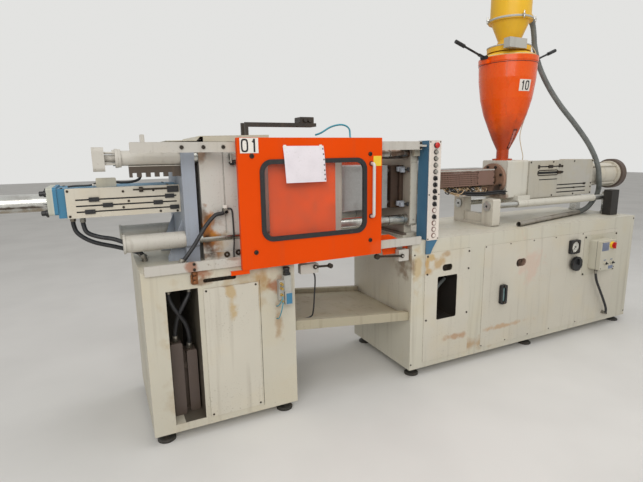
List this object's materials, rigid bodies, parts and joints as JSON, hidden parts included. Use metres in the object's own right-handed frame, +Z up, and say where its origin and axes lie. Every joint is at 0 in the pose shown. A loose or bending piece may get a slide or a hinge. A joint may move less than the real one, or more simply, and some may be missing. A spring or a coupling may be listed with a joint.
{
  "type": "injection moulding machine",
  "caption": "Horizontal injection moulding machine with sliding guard gate, open clamp and mould, travelling injection unit, hopper and loader.",
  "frame": {"origin": "on the floor under the middle of the machine's box", "axes": "+X along the machine from the clamp to the injection unit, +Y from the operator's side to the back, +Z up"},
  "size_m": [5.123, 0.9123, 2.879],
  "materials": {
    "base_left": "semi-gloss, worn",
    "base_right": "semi-gloss, worn",
    "base_tray": "matt, dirty",
    "levelling_feet": "matt",
    "cover_panels": "semi-gloss",
    "gate_rails": "worn",
    "machine_bolts": "oiled",
    "rear_plate": "semi-gloss",
    "clamp_housing": "semi-gloss, oil-stained",
    "top_cover": "worn",
    "tie_bars": "polished, oiled",
    "fixed_platen": "semi-gloss",
    "travel_cylinders": "oiled",
    "stroke_box": "semi-gloss",
    "stroke_plate": "semi-gloss",
    "junction_boxes": "semi-gloss",
    "fixed_guards": "matt",
    "control_column": "semi-gloss",
    "control_plate": "semi-gloss",
    "rod_saddle": "semi-gloss",
    "guide_rods": "polished",
    "isolator_box": "semi-gloss",
    "oil_gauges": "glossy",
    "valve_unit": "matt",
    "gate_switches": "matt",
    "pump_unit": "oiled",
    "mould_fixed_half": "oiled, dark",
    "fixed_hoses": "matt",
    "moving_platen": "semi-gloss",
    "ram": "polished",
    "mould_moving_half": "ground",
    "ejector_plate": "ground",
    "gate_panel": "semi-gloss, worn",
    "gate_gasket": "matt",
    "gate_window": "clear, scratched",
    "gate_handle": "glossy",
    "barrel": "heat-tinted",
    "barrel_guard": "heat-browned",
    "feed_block": "semi-gloss",
    "injection_unit": "semi-gloss",
    "injection_cover": "semi-gloss",
    "hopper": "glossy",
    "loader": "semi-gloss",
    "screw": "polished",
    "drive_motor": "semi-gloss",
    "suction_hose": "matt",
    "suction_lance": "brushed",
    "hopper_clamp_left": "matt",
    "hopper_clamp_right": "matt",
    "stop_button": "glossy",
    "isolator_knob": "glossy",
    "pressure_knob": "matt",
    "switch_lever_left": "oiled",
    "switch_lever_right": "oiled",
    "selector_1": "glossy",
    "selector_2": "glossy",
    "selector_3": "glossy",
    "selector_4": "glossy",
    "selector_5": "glossy",
    "selector_6": "glossy"
  },
  "bodies": {
    "frame": {"base_left": "base_left", "base_right": "base_right", "base_tray": "base_tray", "levelling_feet": "levelling_feet", "cover_panels": "cover_panels", "gate_rails": "gate_rails", "machine_bolts": "machine_bolts", "rear_plate": "rear_plate", "clamp_housing": "clamp_housing", "top_cover": "top_cover", "tie_bars": "tie_bars", "fixed_platen": "fixed_platen", "travel_cylinders": "travel_cylinders", "stroke_box": "stroke_box", "stroke_plate": "stroke_plate", "junction_boxes": "junction_boxes", "fixed_guards": "fixed_guards", "control_column": "control_column", "control_plate": "control_plate", "rod_saddle": "rod_saddle", "guide_rods": "guide_rods", "isolator_box": "isolator_box", "oil_gauges": "oil_gauges", "valve_unit": "valve_unit", "gate_switches": "gate_switches", "pump_unit": "pump_unit", "mould_fixed_half": "mould_fixed_half", "fixed_hoses": "fixed_hoses"},
    "gate": {"gate_panel": "gate_panel", "gate_gasket": "gate_gasket", "gate_window": "gate_window", "gate_handle": "gate_handle"},
    "clamp": {"moving_platen": "moving_platen", "ram": "ram", "mould_moving_half": "mould_moving_half"},
    "ejector": {"ejector_plate": "ejector_plate"},
    "carriage": {"barrel": "barrel", "barrel_guard": "barrel_guard", "feed_block": "feed_block", "injection_unit": "injection_unit", "injection_cover": "injection_cover", "hopper": "hopper", "loader": "loader", "suction_hose": "suction_hose", "suction_lance": "suction_lance"},
    "drive": {"drive_motor": "drive_motor"},
    "screw": {"screw": "screw"},
    "clamp_lever_left": {"hopper_clamp_left": "hopper_clamp_left"},
    "clamp_lever_right": {"hopper_clamp_right": "hopper_clamp_right"},
    "stop": {"stop_button": "stop_button"},
    "isolator": {"isolator_knob": "isolator_knob"},
    "pressure": {"pressure_knob": "pressure_knob"},
    "gate_lever_left": {"switch_lever_left": "switch_lever_left"},
    "gate_lever_right": {"switch_lever_right": "switch_lever_right"},
    "dial_1": {"selector_1": "selector_1"},
    "dial_2": {"selector_2": "selector_2"},
    "dial_3": {"selector_3": "selector_3"},
    "dial_4": {"selector_4": "selector_4"},
    "dial_5": {"selector_5": "selector_5"},
    "dial_6": {"selector_6": "selector_6"}
  },
  "joints": [
    {"name": "gate_slide", "type": "slide", "parent": "frame", "child": "gate", "axis": [1, 0, 0], "range_m": [0, 0.375]},
    {"name": "clamp_slide", "type": "slide", "parent": "frame", "child": "clamp", "axis": [1, 0, 0], "range_m": [-0.3, 0.026]},
    {"name": "ejector_slide", "type": "slide", "parent": "clamp", "child": "ejector", "axis": [1, 0, 0], "range_m": [0, 0.05]},
    {"name": "carriage_slide", "type": "slide", "parent": "frame", "child": "carriage", "axis": [1, 0, 0], "range_m": [-0.088, 0.1]},
    {"name": "drive_slide", "type": "slide", "parent": "carriage", "child": "drive", "axis": [1, 0, 0], "range_m": [0, 0.12]},
    {"name": "screw_turn", "type": "hinge", "parent": "drive", "child": "screw", "pos_m": [2.4435, 0.071, 1.336], "axis": [1, 0, 0], "continuous": true},
    {"name": "clamp_lever_left_turn", "type": "hinge", "parent": "carriage", "child": "clamp_lever_left", "pos_m": [0.7725, 0.071, 2.273], "axis": [0, 1, 0], "range_deg": [0, 75]},
    {"name": "clamp_lever_right_turn", "type": "hinge", "parent": "carriage", "child": "clamp_lever_right", "pos_m": [1.2805, 0.071, 2.273], "axis": [0, -1, 0], "range_deg": [0, 70]},
    {"name": "stop_press", "type": "slide", "parent": "frame", "child": "stop", "axis": [0, 1, 0], "range_m": [0, 0.005], "stiffness_N_per_m": 400, "springref_m": -0.001},
    {"name": "dial_1_turn", "type": "hinge", "parent": "frame", "child": "dial_1", "pos_m": [0.001, -0.328, 1.3965], "axis": [0, 1, 0], "range_deg": [-45, 45]},
    {"name": "dial_2_turn", "type": "hinge", "parent": "frame", "child": "dial_2", "pos_m": [0.001, -0.328, 1.354], "axis": [0, 1, 0], "range_deg": [-45, 45]},
    {"name": "dial_3_turn", "type": "hinge", "parent": "frame", "child": "dial_3", "pos_m": [0.001, -0.328, 1.3115], "axis": [0, 1, 0], "range_deg": [-45, 45]},
    {"name": "dial_4_turn", "type": "hinge", "parent": "frame", "child": "dial_4", "pos_m": [0.001, -0.328, 1.269], "axis": [0, 1, 0], "range_deg": [-45, 45]},
    {"name": "dial_5_turn", "type": "hinge", "parent": "frame", "child": "dial_5", "pos_m": [0.001, -0.328, 1.2265], "axis": [0, 1, 0], "range_deg": [-45, 45]},
    {"name": "dial_6_turn", "type": "hinge", "parent": "frame", "child": "dial_6", "pos_m": [0.001, -0.328, 1.1415], "axis": [0, 1, 0], "range_deg": [-45, 45]},
    {"name": "isolator_turn", "type": "hinge", "parent": "frame", "child": "isolator", "pos_m": [1.8115, -0.422, 0.782], "axis": [0, 1, 0], "range_deg": [0, 90]},
    {"name": "pressure_turn", "type": "hinge", "parent": "frame", "child": "pressure", "pos_m": [1.4895, -0.337, 0.642], "axis": [0, 1, 0], "range_deg": [-60, 60]},
    {"name": "gate_lever_left_turn", "type": "hinge", "parent": "frame", "child": "gate_lever_left", "pos_m": [-0.8725, -0.314, 0.901], "axis": [0, 1, 0], "range_deg": [-8, 20], "stiffness_Nm_per_rad": 2},
    {"name": "gate_lever_right_turn", "type": "hinge", "parent": "frame", "child": "gate_lever_right", "pos_m": [-0.2385, -0.314, 0.897], "axis": [0, 1, 0], "range_deg": [-20, 3], "stiffness_Nm_per_rad": 4}
  ]
}
